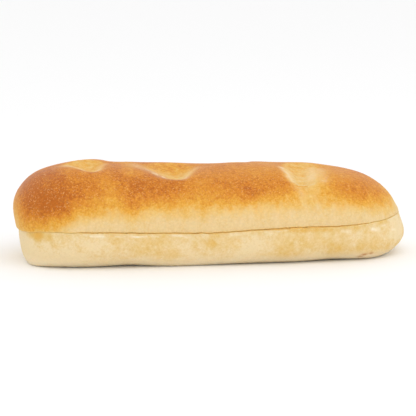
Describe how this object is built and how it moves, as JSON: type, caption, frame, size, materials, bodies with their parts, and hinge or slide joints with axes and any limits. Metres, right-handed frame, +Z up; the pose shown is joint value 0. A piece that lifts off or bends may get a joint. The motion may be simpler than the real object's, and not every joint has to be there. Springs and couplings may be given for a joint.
{
  "type": "potato focaccia roll",
  "caption": "Long soft potato focaccia roll with a golden, finger-dimpled crust, cut through lengthways into a crown and a base for filling.",
  "frame": {"origin": "middle of the roll's box, on the surface that the flat underside rests on", "axes": "+X along the roll towards the blunt end where the base swells out, -Y the front that is pictured, +Z up"},
  "size_m": [0.2048, 0.0769, 0.0496],
  "materials": {
    "golden_crust": "baked bread crust, golden brown to pale, satin to matt",
    "pale_crust": "soft pale bread crust, matt, with a browned underside"
  },
  "bodies": {
    "root": {"crown": "golden_crust", "base": "pale_crust"}
  },
  "joints": []
}
